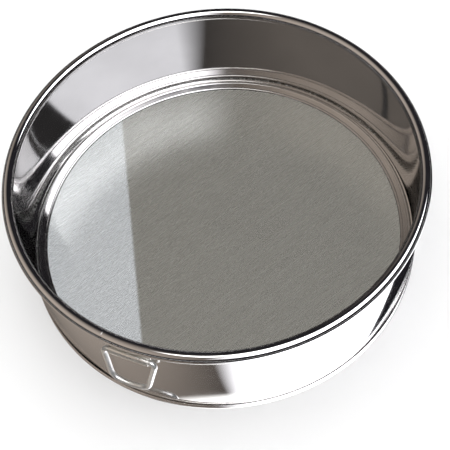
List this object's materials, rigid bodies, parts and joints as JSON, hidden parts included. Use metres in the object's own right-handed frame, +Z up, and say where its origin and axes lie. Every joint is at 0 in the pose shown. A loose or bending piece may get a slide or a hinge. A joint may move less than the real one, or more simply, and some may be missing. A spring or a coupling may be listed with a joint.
{
  "type": "soil sieve",
  "caption": "Round sheet-metal soil sieve with a wired rim bead, a fine woven bottom and a swinging wire hanging ring.",
  "frame": {"origin": "centre of the circle the sieve stands on, at the underside of the base ring", "axes": "+Z up the drum's axis, -Y towards the hanging ring, +X to the right seen from the ring's side"},
  "size_m": [0.3104, 0.3177, 0.09],
  "materials": {
    "polished_sheet": "polished stainless steel sheet",
    "pressed_ring": "polished pressed stainless steel sheet",
    "clip_sheet": "satin stainless steel strap",
    "wire": "drawn stainless steel wire",
    "woven_mesh": "fine plain-woven stainless steel wire"
  },
  "bodies": {
    "drum": {"drum_wall": "polished_sheet", "rim_wire": "wire", "base_ring": "polished_sheet", "mesh_cloth": "woven_mesh", "clamp_ring": "pressed_ring", "ring_clip": "clip_sheet"},
    "hanging_ring": {"d_ring": "wire"}
  },
  "joints": [
    {"name": "ring_swing", "type": "hinge", "parent": "drum", "child": "hanging_ring", "pos_m": [0, -0.153, 0.074], "axis": [-1, 0, 0], "range_deg": [-15, 142]}
  ]
}
